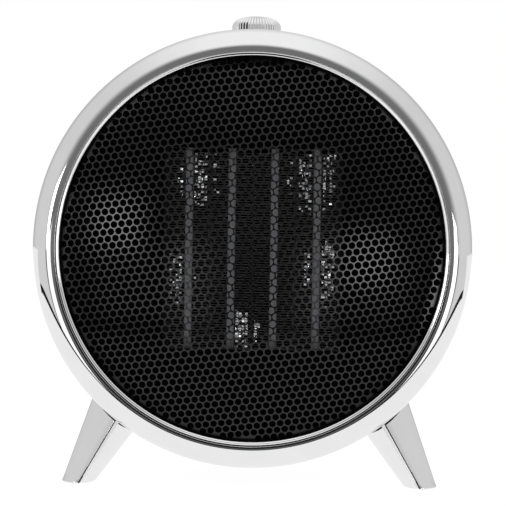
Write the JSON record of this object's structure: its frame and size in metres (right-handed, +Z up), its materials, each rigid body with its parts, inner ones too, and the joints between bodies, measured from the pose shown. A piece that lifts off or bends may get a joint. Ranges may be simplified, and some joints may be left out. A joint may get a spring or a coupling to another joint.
{
  "type": "ceramic heater",
  "caption": "Round drum fan heater with a thick chrome front ring, domed perforated grille, ceramic heating block, splayed tapered legs and a grooved control knob on top.",
  "frame": {"origin": "on the floor, under the middle of the heater's box", "axes": "+X to the right as seen from the front, -Y the way the grille faces and the warm air leaves, +Z up"},
  "size_m": [0.228, 0.1232, 0.2538],
  "materials": {
    "chrome_ring": "mirror-bright chrome plate",
    "black_grille": "semi-gloss black stove enamel",
    "drum_paint": "gloss black enamel",
    "cover_plastic": "fine-grained black moulding",
    "knob_chrome": "bright plated, grooved",
    "leg_chrome": "mirror-bright chrome plate",
    "pad_rubber": "grey rubber",
    "screw_steel": "zinc-plated steel",
    "gland_nylon": "black nylon",
    "duct_plastic": "black glass-filled PBT",
    "cap_plastic": "heat-resistant moulding",
    "aluminium": "extruded aluminium",
    "fin_aluminium": "bright rolled strip",
    "heating_ceramic": "sintered heating ceramic",
    "brass_tab": "stamped brass",
    "brass_weight": "turned brass",
    "fan_plastic": "black glass-filled nylon",
    "spring_steel": "spring steel",
    "shaft_steel": "ground steel",
    "core_steel": "stacked silicon steel sheets",
    "winding_tape": "taped winding",
    "zinc_bracket": "zinc-plated pressing",
    "bush_bronze": "sintered bronze",
    "switch_plastic": "black phenolic moulding",
    "cutout_metal": "pressed aluminium cap",
    "fuse_body": "sleeved fuse",
    "terminal_nylon": "natural nylon",
    "wire_cover": "silicone insulation"
  },
  "bodies": {
    "heater": {"front_ring": "chrome_ring", "grille": "black_grille", "drum_shell": "drum_paint", "back_cover": "cover_plastic", "leg_front_left": "leg_chrome", "leg_front_right": "leg_chrome", "leg_back_left": "leg_chrome", "leg_back_right": "leg_chrome", "foot_pads": "pad_rubber", "leg_screws": "screw_steel", "ring_screw": "screw_steel", "cover_screws": "screw_steel", "cord_gland": "gland_nylon", "gland_nut": "gland_nylon", "baffle_duct": "duct_plastic", "fan_housing": "duct_plastic", "duct_screws": "screw_steel", "end_cap_top": "cap_plastic", "end_cap_bottom": "cap_plastic", "side_plate_left": "aluminium", "side_plate_right": "aluminium", "bar_1": "aluminium", "bar_2": "aluminium", "bar_3": "aluminium", "bar_4": "aluminium", "ceramic_stones": "heating_ceramic", "fin_1": "fin_aluminium", "fin_2": "fin_aluminium", "fin_3": "fin_aluminium", "fin_4": "fin_aluminium", "fin_5": "fin_aluminium", "fin_6": "fin_aluminium", "fin_7": "fin_aluminium", "fin_8": "fin_aluminium", "divider_1": "aluminium", "divider_2": "aluminium", "divider_3": "aluminium", "bar_tabs": "brass_tab", "block_screws": "screw_steel", "motor_stack": "core_steel", "motor_coil": "winding_tape", "motor_bracket_front": "zinc_bracket", "motor_bracket_back": "zinc_bracket", "motor_bushes": "bush_bronze", "motor_screws": "screw_steel", "rotary_switch": "switch_plastic", "switch_nut": "screw_steel", "thermal_cutout": "cutout_metal", "thermal_fuse": "fuse_body", "tilt_bracket": "zinc_bracket", "tilt_switch": "switch_plastic", "terminal_block": "terminal_nylon", "inner_wires": "wire_cover"},
    "fan": {"fan_impeller": "fan_plastic", "fan_clip": "spring_steel", "motor_shaft": "shaft_steel", "motor_rotor": "shaft_steel"},
    "knob": {"control_knob": "knob_chrome", "switch_spindle": "shaft_steel"},
    "pendulum": {"tilt_pendulum": "brass_weight"}
  },
  "joints": [
    {"name": "fan_spin", "type": "hinge", "parent": "heater", "child": "fan", "pos_m": [0, 0.00158, 0.1276], "axis": [0, -1, 0], "continuous": true},
    {"name": "knob_turn", "type": "hinge", "parent": "heater", "child": "knob", "pos_m": [0, 0.00458, 0.239], "axis": [0, 0, -1], "range_deg": [0, 270]},
    {"name": "tilt_swing", "type": "hinge", "parent": "heater", "child": "pendulum", "pos_m": [-0.036, -0.00242, 0.0636], "axis": [0, -1, 0], "range_deg": [-20, 20]}
  ]
}
